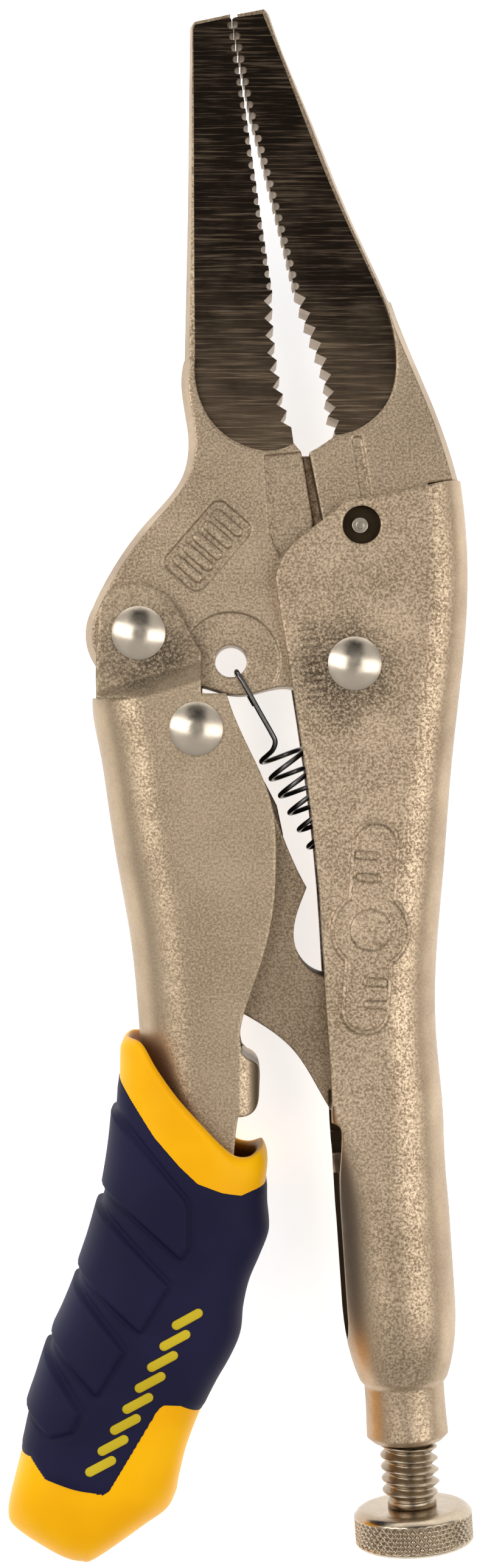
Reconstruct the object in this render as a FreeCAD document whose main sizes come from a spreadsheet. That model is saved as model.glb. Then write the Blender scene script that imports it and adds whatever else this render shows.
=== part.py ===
import FreeCAD, Part
import math
import os

# Long-nose locking pliers with a quick-release grip, closed and locked.
# Every sub-part is drawn in the tool's own plane, in mm from the main pivot:
# x towards the fixed handle's back, y towards the jaw tips, z along the rivets.
# The placement then sets the whole tool down with its grip on z = 0.

V = FreeCAD.Vector

SIZES = [
    # name, value, what it is
    ("pivot_x", 12.08, "main pivot from the middle of the tool's box"),
    ("pivot_y", 12.8, "main pivot from the middle of the tool's box"),
    ("mid_z", 9.5, "height of the tool's middle plane"),
    ("jaw_depth", 8.0, "jaw thickness at the ears"),
    ("sheet", 1.9, "sheet steel of both handles"),
    ("play", 0.1, "side play between neighbouring layers"),
    ("handle_depth", 12.0, "fixed handle, outside to outside"),
    ("lever_depth", 13.0, "lever channel, outside to outside"),
    ("tube_radius", 6.2, "rear tube of the fixed handle"),
    ("neck_radius", 4.35, "threaded neck"),
    ("screw_tilt", 3.86, "screw axis from the y axis, degrees"),
    ("screw_offset", 0.37, "screw axis crosses y = 0 at this x"),
    ("thread_radius", 3.175, "1/4 inch thread"),
    ("thread_pitch", 1.27, "20 threads per inch"),
    ("knob_radius", 6.5, "knurled head"),
    ("knob_length", 4.3, "knurled head"),
    ("rivet_radius", 2.2, "rivet shanks"),
    ("rivet_head_radius", 2.9, "rivet heads"),
    ("rivet_head_height", 1.1, "rivet heads"),
    ("rivet_play", 0.05, "radial running fit of the rivets"),
    ("lever_pivot_x", -23.2, "jaw and lever rivet"),
    ("lever_pivot_y", 3.3, "jaw and lever rivet"),
    ("toggle_pivot_x", -17.0, "lever and toggle rivet"),
    ("toggle_pivot_y", -7.0, "lever and toggle rivet"),
    ("release_pivot_x", -18.9, "release lever pin"),
    ("release_pivot_y", -57.5, "release lever pin"),
    ("release_pin_radius", 1.6, "release lever pin"),
    ("spring_hole_x", -13.3, "spring hole in the movable jaw"),
    ("spring_hole_y", 0.4, "spring hole in the movable jaw"),
    ("spring_hole_radius", 1.75, "spring hole in the movable jaw"),
    ("toggle_depth", 7.6, "toggle link thickness"),
    ("release_depth", 5.0, "release lever thickness"),
    ("grip_depth", 19.0, "grip thickness"),
    ("grip_skin", 1.4, "overmoulded skin on the grip core"),
    ("spring_wire", 0.55, "spring wire diameter"),
    ("spring_radius", 2.4, "spring coil, to the middle of the wire"),
    ("spring_pitch", 2.13, "stretched coil pitch"),
]


def make_sheet(doc):
    """The driving sizes, one row each."""
    sheet = doc.addObject("Spreadsheet::Sheet", "sizes")
    for row, (alias, value, note) in enumerate(SIZES, start=1):
        sheet.set(f"A{row}", alias)
        sheet.set(f"B{row}", str(value))
        sheet.set(f"C{row}", note)
        sheet.setAlias(f"B{row}", alias)
    doc.recompute()
    return sheet


doc = FreeCAD.newDocument("locking_pliers")
sizes = make_sheet(doc)
PARTS = []

PIVOT = V(0, 0, 0)
LEVER_PIVOT = V(sizes.lever_pivot_x, sizes.lever_pivot_y, 0)
TOGGLE_PIVOT = V(sizes.toggle_pivot_x, sizes.toggle_pivot_y, 0)
RELEASE_PIVOT = V(sizes.release_pivot_x, sizes.release_pivot_y, 0)
SPRING_HOLE = V(sizes.spring_hole_x, sizes.spring_hole_y, 0)
RIVET_HOLE = sizes.rivet_radius + sizes.rivet_play
WALL_INNER = sizes.jaw_depth / 2 + sizes.play
LEVER_INNER = sizes.lever_depth / 2 - sizes.sheet
HANDLE_TOP = sizes.handle_depth / 2
LEVER_TOP = sizes.lever_depth / 2
EAR_TOP = WALL_INNER + 1.5              # the lever's ears are coined a little thinner
PIN_TOP = HANDLE_TOP - 0.6              # the retaining pin stands in a counterbore


# ---------------------------------------------------------------- helpers

def place(part):
    """Bind a sub-part's placement to the main pivot's cells."""
    part.setExpression("Placement.Base.x", "sizes.pivot_x")
    part.setExpression("Placement.Base.y", "sizes.pivot_y")
    part.setExpression("Placement.Base.z", "sizes.mid_z")


def new_body(name):
    body = doc.addObject("PartDesign::Body", name)
    body.Label = name
    place(body)
    PARTS.append(body)
    return body


def new_sketch(body, role="XY_Plane", move=(0, 0, 0), turn=None):
    """A sketch on one of the body's own origin planes."""
    plane = next(f for f in body.Origin.OriginFeatures if f.Role == role)
    sketch = body.newObject("Sketcher::SketchObject", body.Name + "_sketch")
    sketch.AttachmentSupport = [(plane, "")]
    sketch.MapMode = "FlatFace"
    sketch.AttachmentOffset = FreeCAD.Placement(V(*move), turn or FreeCAD.Rotation())
    return sketch


def point(p):
    return p if isinstance(p, FreeCAD.Vector) else V(p[0], p[1], 0)


def polyline(*points):
    points = [point(p) for p in points]
    return [Part.LineSegment(a, b) for a, b in zip(points, points[1:])]


def curve(*points):
    """One smooth curve through the points."""
    spline = Part.BSplineCurve()
    spline.interpolate([point(p) for p in points])
    return [spline]


def arc(start, middle, end):
    return [Part.Arc(point(start), point(middle), point(end))]


def arc_about(centre, radius, start_deg, end_deg):
    """An arc about a centre; it runs anticlockwise when end_deg is larger."""
    return arc(*(on_circle(centre, radius, a)
                 for a in (start_deg, (start_deg + end_deg) / 2, end_deg)))


def on_circle(centre, radius, degrees):
    angle = math.radians(degrees)
    return centre + V(radius * math.cos(angle), radius * math.sin(angle), 0)


def circle(centre, radius):
    return [Part.Circle(point(centre), V(0, 0, 1), radius)]


def rectangle(x0, y0, x1, y1):
    return polyline((x0, y0), (x1, y0), (x1, y1), (x0, y1), (x0, y0))


def slab(x_middle, y_middle, length, width, degrees, corner):
    """A rounded rectangle, turned by an angle about its middle."""
    turn = FreeCAD.Rotation(V(0, 0, 1), degrees)
    middle = V(x_middle, y_middle, 0)
    long_side, short_side = length / 2 - corner, width / 2 - corner
    edges = []
    previous = None
    for quarter, (sx, sy) in enumerate([(1, 1), (-1, 1), (-1, -1), (1, -1)]):
        centre = V(sx * long_side, sy * short_side, 0)
        ends = [on_circle(centre, corner, 90 * quarter + a) for a in (0, 45, 90)]
        ends = [middle + turn.multVec(e) for e in ends]
        if previous:
            edges += polyline(previous, ends[0])
        else:
            first = ends[0]
        edges += arc(*ends)
        previous = ends[2]
    return edges + polyline(previous, first)


def pad(body, outline, z0, z1):
    """Add an outline's prism from z0 to z1, given as numbers or cell formulas."""
    sketch = new_sketch(body)
    sketch.setExpression("AttachmentOffset.Base.z", str(z0))
    sketch.addGeometry(outline, False)
    feature = body.newObject("PartDesign::Pad", body.Name + "_pad")
    feature.Profile = sketch
    feature.setExpression("Length", f"({z1}) - ({z0})")
    return feature


def pad_middle(body, outline, depth):
    """Add an outline's prism, evenly about the middle plane."""
    sketch = new_sketch(body)
    sketch.addGeometry(outline, False)
    feature = body.newObject("PartDesign::Pad", body.Name + "_pad")
    feature.Profile = sketch
    feature.SideType = "Symmetric"
    feature.setExpression("Length", str(depth))
    return feature


def pocket(body, outline, z0, z1):
    """Cut an outline's prism from z0 up to z1."""
    sketch = new_sketch(body)
    sketch.setExpression("AttachmentOffset.Base.z", str(z0))
    sketch.addGeometry(outline, False)
    feature = body.newObject("PartDesign::Pocket", body.Name + "_pocket")
    feature.Profile = sketch
    feature.Reversed = True
    feature.setExpression("Length", f"({z1}) - ({z0})")
    return feature


def pocket_through(body, outline, depth=40, role="XY_Plane", turn=None):
    """Cut an outline right through, evenly about the sketch's plane."""
    sketch = new_sketch(body, role, turn=turn)
    sketch.addGeometry(outline, False)
    feature = body.newObject("PartDesign::Pocket", body.Name + "_pocket")
    feature.Profile = sketch
    feature.SideType = "Symmetric"
    feature.setExpression("Length", str(depth))
    return feature


def both_faces(body, outline, z0, z1):
    """The same pocket in the top face and in the bottom face."""
    pocket(body, outline, z0, z1)
    pocket(body, outline, f"-({z1})", f"-({z0})")


def revolve(body, outline, cut=False, move=(0, 0, 0), turn=None):
    """Turn an outline about its sketch's vertical axis."""
    sketch = new_sketch(body, move=move, turn=turn)
    sketch.addGeometry(outline, False)
    kind = "PartDesign::Groove" if cut else "PartDesign::Revolution"
    feature = body.newObject(kind, body.Name + "_turned")
    feature.Profile = sketch
    feature.ReferenceAxis = (sketch, ["V_Axis"])
    feature.Angle = 360
    return feature


def loft(body, sections, cut=False):
    """Join sections across the y axis, each given as (y, outline in x and z)."""
    sketches = []
    for y, outline in sections:
        sketch = new_sketch(body, "XZ_Plane", move=(0, 0, -y))
        sketch.addGeometry(outline, False)
        sketches.append(sketch)
    kind = "PartDesign::SubtractiveLoft" if cut else "PartDesign::AdditiveLoft"
    feature = body.newObject(kind, body.Name + "_loft")
    feature.Profile = sketches[0]
    feature.Sections = sketches[1:]
    return feature


def layers(body, outline, levels):
    """A plate with sloping edges: outline(inset) at each (z, inset), joined by ruled faces."""
    sketches = []
    for z, inset in levels:
        sketch = new_sketch(body, move=(0, 0, z))
        sketch.addGeometry(outline(inset), False)
        sketches.append(sketch)
    feature = body.newObject("PartDesign::AdditiveLoft", body.Name + "_layers")
    feature.Profile = sketches[0]
    feature.Sections = sketches[1:]
    feature.Ruled = True
    return feature


def channel_section(open_x, closed_x, half, radius):
    """A channel's outline across the tool: square at open_x, round at closed_x."""
    side = 1 if closed_x > open_x else -1
    flat_x = closed_x - side * radius
    low, high = half - radius, -(half - radius)
    bend = radius * math.sqrt(0.5)
    corner = closed_x - side * (radius - bend)
    return (polyline((open_x, -half), (flat_x, -half))
            + arc((flat_x, -half), (corner, high - bend), (closed_x, high))
            + polyline((closed_x, high), (closed_x, low))
            + arc((closed_x, low), (corner, low + bend), (flat_x, half))
            + polyline((flat_x, half), (open_x, half), (open_x, -half)))


def rounded_section(x0, x1, half, radius):
    """A rounded rectangle across the tool."""
    middle = (x0 + x1) / 2
    return slab(middle, 0, x1 - x0, 2 * half, 0, radius)


def shell_section(x0, x1, half, front, back):
    """A section across the tool with one corner radius at x0 and another at x1."""
    edges = []
    corners = [(x1, 1, back), (x0, 1, front), (x0, -1, front), (x1, -1, back)]
    ends = []
    for quarter, (x, side, radius) in enumerate(corners):
        middle = V(x + (radius if x == x0 else -radius), side * (half - radius), 0)
        ends.append([on_circle(middle, radius, 90 * quarter + a) for a in (0, 45, 90)])
    for corner, following in zip(ends, ends[1:] + ends[:1]):
        edges += arc(*corner) + polyline(corner[2], following[0])
    return edges


def screw_frame():
    """The sketch turn and shift that put a sketch's vertical axis on the screw."""
    turn = FreeCAD.Rotation(V(0, 0, 1), sizes.screw_tilt)
    return dict(move=(sizes.screw_offset, 0, 0), turn=turn)


def rivet(name, centre, half_length):
    """A shank with a domed head at each end, each dome with a tiny flat on top."""
    body = new_body(name)
    shank, head, height = sizes.rivet_radius, sizes.rivet_head_radius, sizes.rivet_head_height
    rim = half_length + 0.25 * height
    dome = half_length + height
    flat = 0.35
    halfway = (0.66 * head, dome - 0.36 * (dome - rim))
    outline = (polyline((flat, -dome), (0, -dome), (0, dome), (flat, dome))
               + arc((flat, dome), halfway, (head, rim))
               + polyline((head, rim), (head, half_length), (shank, half_length),
                          (shank, -half_length), (head, -half_length), (head, -rim))
               + arc((head, -rim), (halfway[0], -halfway[1]), (flat, -dome)))
    sketch = new_sketch(body, "XZ_Plane", move=(centre.x, 0, -centre.y))
    sketch.addGeometry(outline, False)
    feature = body.newObject("PartDesign::Revolution", name + "_turned")
    feature.Profile = sketch
    feature.ReferenceAxis = (sketch, ["V_Axis"])
    feature.Angle = 360
    return body


# ---------------------------------------------------------------- jaws

def toothed_edge(points, pitch, depth, side, rounded):
    """Teeth along a line of tooth tips, from its first point to its last."""
    spline = Part.BSplineCurve()
    spline.interpolate([point(p) for p in points])
    length = spline.length()
    count = round(length / pitch)
    tips = [spline.value(spline.parameterAtDistance(length * i / count))
            for i in range(count + 1)]
    tips[0], tips[-1] = point(points[0]), point(points[-1])
    edges = []
    for tip, following in zip(tips, tips[1:]):
        along = (following - tip).normalize()
        inwards = V(along.y, -along.x, 0) * side
        if rounded:
            land = 0.22 * pitch
            start, end = tip + along * land, following - along * land
            middle = (start + end) * 0.5 + inwards * depth
            edges += polyline(tip, start) + arc(start, middle, end) + polyline(end, following)
        else:
            root = (tip + following) * 0.5 + inwards * depth
            edges += polyline(tip, root, following)
    return edges


NOSE_SLOPE = [(20.0, 3.5), (72.5, 2.2)]     # y and half thickness of the ground nose


def thin_nose(body, deeper=0.0):
    """Grind both faces of a jaw's nose so that it tapers towards its tip."""
    (y0, z0), (y1, z1) = [(y, z - deeper) for y, z in NOSE_SLOPE]
    for side in (1, -1):
        pocket_through(body, polyline((y0, side * z0), (y1, side * z1), (y1, side * 6),
                                      (y0, side * 6), (y0, side * z0)),
                       depth=120, role="YZ_Plane")


def bevelled(face, edge, inset):
    """The levels of a plate whose outer edge slopes in from z = edge to z = face."""
    return [(-face, inset), (-edge, 0.0), (edge, 0.0), (face, inset)]


FINE_PITCH, FINE_DEPTH = 1.3, 0.55
COARSE_PITCH, COARSE_DEPTH = 1.85, 0.95


def movable_jaw_rim(inset):
    """The nose under the ground face; only its outer side and tip slope."""
    i = inset
    return (curve((-18.4 + i, 31.0), (-18.2 + i, 39.8), (-17.97 + i, 50.9), (-17.85 + i, 61.9),
                  (-17.75 + i, 69.5))
            + polyline((-17.75 + i, 69.5), (-17.4 + i, 70.15 - i / 2), (-13.35, 70.95 - i / 2),
                       (-13.7, 69.0), (-13.7, 60.0), (-12.4, 50.0), (-11.6, 31.0),
                       (-18.4 + i, 31.0)))


MOVABLE_GROUND = [(-17.2, 33.0), (-16.6, 28.5), (-15.0, 25.8), (-12.0, 23.7), (-9.6, 23.1),
                  (-6.5, 23.9)]


def movable_jaw_root(inset):
    """The jaw behind its ground face, with the eyes for both pivots."""
    i = inset
    ear, eye = 5.9 - i, 6.0
    return (curve((-18.4 + i, 33.0), (-18.35 + i, 27.6), (-17.95 + i, 24.9),
                  (-18.5 + 0.9 * i, 20.7 - 0.3 * i), (-22.4 + 0.8 * i, 15.6 - 0.6 * i),
                  (-26.6 + 0.85 * i, 9.7 - 0.5 * i), on_circle(LEVER_PIVOT, ear, 150))
            + arc_about(LEVER_PIVOT, ear, 150, 270)
            + curve(on_circle(LEVER_PIVOT, ear, 270), (-20.6, -2.45), (-17.0, -2.25),
                    (-14.9, -2.8), (-12.3, -3.3), (-7.8, -2.4), on_circle(PIVOT, eye, 215))
            + arc_about(PIVOT, eye, 215, 495)
            + polyline(on_circle(PIVOT, eye, 495), (-4.45, 15.5), (-5.65, 22.9))
            + curve((-5.65, 22.9), (-6.1, 23.4), MOVABLE_GROUND[-1])
            + curve(*reversed(MOVABLE_GROUND))
            + polyline(MOVABLE_GROUND[0], (-18.4 + i, 33.0)))


def movable_jaw():
    """The jaw that turns about the main pivot, with its two ears."""
    body = new_body("movable_jaw")
    layers(body, movable_jaw_rim, bevelled(3.6, 1.2, 0.8))
    thin_nose(body, 0.3)
    nose = (curve(MOVABLE_GROUND[0], (-17.25, 39.8), (-17.3, 50.9), (-17.4, 69.1))
            + polyline((-17.4, 69.1), (-17.2, 69.6), (-13.45, 70.4), (-13.25, 70.2))
            + toothed_edge([(-13.25, 70.2), (-11.68, 60.2)], FINE_PITCH, FINE_DEPTH, 1, True)
            + toothed_edge([(-11.68, 60.2), (-10.2, 49.8), (-8.8, 40.4)],
                           FINE_PITCH, FINE_DEPTH, 1, True)
            + toothed_edge([(-8.8, 40.4), (-8.4, 33.7), (-6.75, 25.7)],
                           COARSE_PITCH, COARSE_DEPTH, 1, False)
            + polyline((-6.75, 25.7), MOVABLE_GROUND[-1])
            + curve(*reversed(MOVABLE_GROUND)))
    pad_middle(body, nose, "sizes.jaw_depth")
    thin_nose(body)
    half = sizes.jaw_depth / 2
    layers(body, movable_jaw_root, bevelled(half, 2.2, 0.8))
    both_faces(body, circle(SPRING_HOLE, 5.3), half - 0.8, half + 1)
    step = polyline((-9.7, 22.6), (-9.1, 14.0), (-8.0, 11.6), (0.0, 11.6), (0.0, 23.5),
                    (-9.7, 22.6))
    both_faces(body, step, half - 0.7, half + 1)
    both_faces(body, slab(-15.8, 12.8, 9.6, 5.4, 49, 1.2), half - 0.6, half + 1)
    for number in (-2, -1, 0, 1, 2):
        ridge = on_circle(V(-15.8, 12.8, 0), 1.65 * number, 49)
        pad_middle(body, slab(ridge.x, ridge.y, 0.95, 3.8, 49, 0.4), "sizes.jaw_depth - 0.15")
    for centre in (PIVOT, LEVER_PIVOT):
        pocket_through(body, circle(centre, RIVET_HOLE))
    pocket_through(body, circle(SPRING_HOLE, sizes.spring_hole_radius))
    return body


FIXED_GROUND = [(-1.95, 24.8), (0.6, 25.5), (2.5, 26.9), (3.85, 28.8), (4.6, 32.6), (3.85, 37.6),
                (3.03, 39.8)]
FIXED_SEAT = 6.35             # radius of the seat round the movable jaw's eye


def fixed_jaw_rim(inset):
    """The nose under the ground face; only its outer side and tip slope."""
    i = inset
    return (curve((-9.15 - i, 71.0 - i / 2), (-8.1 - i, 68.0), (-4.7 - i, 59.7), (-0.7 - i, 49.7),
                  (3.4 - i, 40.8), (5.7 - i, 35.0))
            + polyline((5.7 - i, 35.0), (-1.0, 35.0), (-4.0, 44.0), (-10.0, 60.0), (-12.2, 69.0),
                       (-12.6, 70.95 - i / 2), (-9.5 - i, 71.5 - i / 2),
                       (-9.15 - i, 71.0 - i / 2)))


def fixed_jaw_root(inset):
    """The jaw behind its ground face, down between the fixed handle's walls."""
    i = inset
    return (curve(*FIXED_GROUND)
            + polyline(FIXED_GROUND[-1], (4.1 - 0.9 * i, 39.4))
            + curve((4.1 - 0.9 * i, 39.4), (5.6 - i, 35.4), (8.9 - i, 27.6), (10.6 - i, 22.8),
                    (11.4 - i, 19.95))
            + polyline((11.4 - i, 19.95), (8.0, 19.6), (7.2, -5.0), (5.6, -5.6),
                       on_circle(PIVOT, FIXED_SEAT, -40))
            + arc_about(PIVOT, FIXED_SEAT, -40, 119.5)
            + polyline(on_circle(PIVOT, FIXED_SEAT, 119.5), (-3.3, 15.5), (-4.8, 22.9))
            + curve((-4.8, 22.9), (-3.3, 23.8), FIXED_GROUND[0]))


def fixed_jaw():
    """The jaw held between the fixed handle's walls."""
    body = new_body("fixed_jaw")
    layers(body, fixed_jaw_rim, bevelled(3.6, 1.2, 0.8))
    thin_nose(body, 0.3)
    nose = (curve(FIXED_GROUND[-1], (0.8, 44.7), (-1.5, 49.7), (-5.4, 59.4), (-8.95, 68.6),
                  (-9.7, 70.4))
            + polyline((-9.7, 70.4), (-9.85, 70.8), (-12.9, 70.4), (-13.17, 70.2))
            + toothed_edge([(-13.17, 70.2), (-11.3, 60.2)], FINE_PITCH, FINE_DEPTH, -1, True)
            + toothed_edge([(-11.3, 60.2), (-8.65, 50.0), (-6.3, 40.4)],
                           FINE_PITCH, FINE_DEPTH, -1, True)
            + toothed_edge([(-6.3, 40.4), (-5.1, 36.5), (-3.9, 33.2), (-3.1, 30.0), (-2.9, 27.5),
                            (-2.1, 25.3)],
                           COARSE_PITCH, COARSE_DEPTH, -1, False)
            + polyline((-2.1, 25.3), FIXED_GROUND[0])
            + curve(*FIXED_GROUND))
    pad_middle(body, nose, "sizes.jaw_depth")
    thin_nose(body)
    half = sizes.jaw_depth / 2
    layers(body, fixed_jaw_root, bevelled(half, 2.2, 0.8))
    both_faces(body, slab(0.85, 21.2, 7.0, 1.1, 99, 0.5), half - 0.35, half + 1)
    # a thin web that closes the view between the two jaws
    web = polyline((-3.0, 9.0), (-3.0, 15.5), (-4.5, 22.9), (-5.57, 22.9), (-4.37, 15.5),
                   (-4.25, 9.0), (-3.0, 9.0))
    pad_middle(body, web, 1.2)
    pocket_through(body, circle((0.6, 14.9), 0.85))
    return body


# ---------------------------------------------------------------- fixed handle

HANDLE_BACK = [
    # y, x of the back, bend radius
    (22.0, 11.4, 4.2), (12.0, 12.45, 4.3), (4.0, 12.3, 4.5), (-5.0, 11.4, 4.7),
    (-17.0, 10.3, 5.1), (-26.0, 9.6, 5.4), (-34.5, 9.05, 5.6), (-43.0, 9.4, 5.8),
    (-51.5, 10.0, 5.95),
]
HANDLE_SHOULDER = [
    # y, x of the front and back, half depth, front and back corner radius
    (-44.5, -2.1, 9.2, 5.7, 0.3, 5.6), (-47.0, -2.4, 9.75, 6.02, 0.5, 5.85),
    (-52.0, -2.27, 10.05, 6.06, 2.6, 5.95), (-57.0, -1.98, 10.38, 6.12, 5.2, 6.05),
    (-62.0, -1.59, 10.69, 6.14, 6.05, 6.05),
]
TUBE_START = -50.0


def fixed_handle():
    """The pressed handle: a channel in front, a rolled tube and threaded neck behind."""
    body = new_body("fixed_handle")
    wall, inner = sizes.sheet, WALL_INNER
    loft(body, [(y, channel_section(-12.0, x, HANDLE_TOP, r)) for y, x, r in HANDLE_BACK])
    tube, neck = sizes.tube_radius, sizes.neck_radius
    end = 84.8
    outside = (polyline((0, -60.0), (tube, -60.0), (tube, -68.0))
               + curve((tube, -68.0), (tube - 0.1, -72.0), (tube - 0.75, -76.0), (tube - 1.4, -78.0))
               + polyline((tube - 1.4, -78.0), (neck, -78.6), (neck, -81.0), (neck + 0.12, -end + 0.6),
                          (neck - 0.5, -end), (0, -end), (0, -60.0)))
    trim = (polyline((-14, 24), (14, 24), (14, 19.9), (11.0, 19.9))
            + curve((11.0, 19.9), (7.9, 19.2), (3.0, 18.1), (-1.0, 17.6))
            + curve((-1.0, 17.6), (-4.0, 15.0), (-7.0, 12.4), (-8.5, 8.8))
            + curve((-8.5, 8.8), (-7.5, 3.0), (-6.2, -4.9), (-4.6, -16.4), (-3.65, -26.3),
                    (-3.0, -37.3), (-2.45, -45.6), (-2.5, -55.0))
            + polyline((-2.5, -55.0), (-14, -55.0), (-14, 24)))
    pocket_through(body, trim)
    pocket_through(body, rectangle(-14, -56, 14, -47.5))
    loft(body, [(y, shell_section(*numbers)) for y, *numbers in HANDLE_SHOULDER])
    revolve(body, outside, **screw_frame())
    loft(body, [(y, channel_section(-14.0, x - wall, inner, r - wall))
                for y, x, r in HANDLE_BACK[:-1] + [(TUBE_START - 1.4, 9.98, 5.95)]], cut=True)
    bore = sizes.thread_radius + 0.075
    inside = polyline((0, -50.4), (tube - wall, -50.4), (tube - wall, -71.0),
                      (neck - 0.2, -76.5), (bore, -77.0), (bore, -end - 1), (0, -end - 1), (0, -50.4))
    revolve(body, inside, cut=True, **screw_frame())
    # the seam left by rolling the tube, and the mouth that clears the toggle
    seam = (polyline((-6, -49.3), (-2.3, -49.4))
            + curve((-2.3, -49.4), (-1.6, -49.8), (-1.3, -51.2), (-1.42, -54.5), (-1.4, -57.5),
                    (-1.2, -61.0), (-0.83, -66.5), (-0.55, -70.5), (-0.45, -73.2), (-0.9, -75.2))
            + polyline((-0.9, -75.2), (-6, -75.5), (-6, -49.3)))
    pocket(body, seam, -0.6, 8)
    mouth = (polyline((-48.0, -3.5), (-52.6, -3.5)) + arc((-52.6, -3.5), (-55.6, 0), (-52.6, 3.5))
             + polyline((-52.6, 3.5), (-48.0, 3.5), (-48.0, -3.5)))
    side_cut(body, mouth, -12, 2)
    pocket_through(body, circle(PIVOT, sizes.rivet_radius))
    pocket_through(body, circle((0.6, 14.9), 0.85))
    top = "sizes.handle_depth / 2"
    both_faces(body, circle((0.75, 14.9), 2.05), f"{top} - 1.2", f"{top} + 1")
    badge(body)
    for y in (4.0, 2.15, 0.35, -1.45, -3.25):
        pad(body, slab(-4.5 - 0.15 * y, y, 2.2, 0.7, 8, 0.3), f"{top} - 0.5", f"{top} + 0.2")
    return body


def side_cut(body, outline, x0, x1):
    """Cut an outline given in y and z, from x0 to x1."""
    sketch = new_sketch(body, "YZ_Plane", move=(0, 0, x0))
    sketch.addGeometry(outline, False)
    feature = body.newObject("PartDesign::Pocket", body.Name + "_pocket")
    feature.Profile = sketch
    feature.Reversed = True
    feature.Length = x1 - x0
    return feature


def badge(body):
    """A plain raised lozenge with a boss, pressed into the handle's walls."""
    top = HANDLE_TOP
    lift = 0.5
    turn = 86.5
    for sign in (1, -1):
        low, high = sorted((sign * (top - 0.5), sign * (top + lift)))
        pad(body, slab(1.7, -28.3, 23.0, 5.2, turn, 2.5), low, high)
        pad(body, circle((1.7, -28.6), 4.3), low, high)
        low, high = sorted((sign * (top + 0.02), sign * (top + lift + 1)))
        pocket(body, slab(1.7, -28.3, 22.2, 4.4, turn, 2.1), low, high)
        pocket(body, circle((1.7, -28.6), 3.9), low, high)
        low, high = sorted((sign * (top - 0.5), sign * (top + 0.45)))
        pad(body, circle((1.7, -28.6), 2.2), low, high)
        for y in (-20.6, -23.0, -34.2, -36.6):
            pad(body, slab(1.35 + 0.06 * (-20.6 - y), y, 0.8, 2.6, turn, 0.35), low, high)


def jaw_retaining_pin():
    body = new_body("jaw_retaining_pin")
    pad_middle(body, circle((0.6, 14.9), 0.85), 2 * PIN_TOP)
    both_faces(body, circle((0.6, 14.9), 0.4), PIN_TOP - 0.4, PIN_TOP + 1)
    return body


# ---------------------------------------------------------------- lever and toggle

LEVER_BACK = [
    # y, x of the back
    (-3.2, -28.4), (-9.0, -27.7), (-15.0, -26.75), (-22.0, -25.65), (-30.0, -24.25),
    (-36.0, -23.6), (-42.0, -23.15), (-50.0, -22.7), (-58.0, -22.6), (-67.0, -22.8),
]
LEVER_BEND = 6.0


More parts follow.
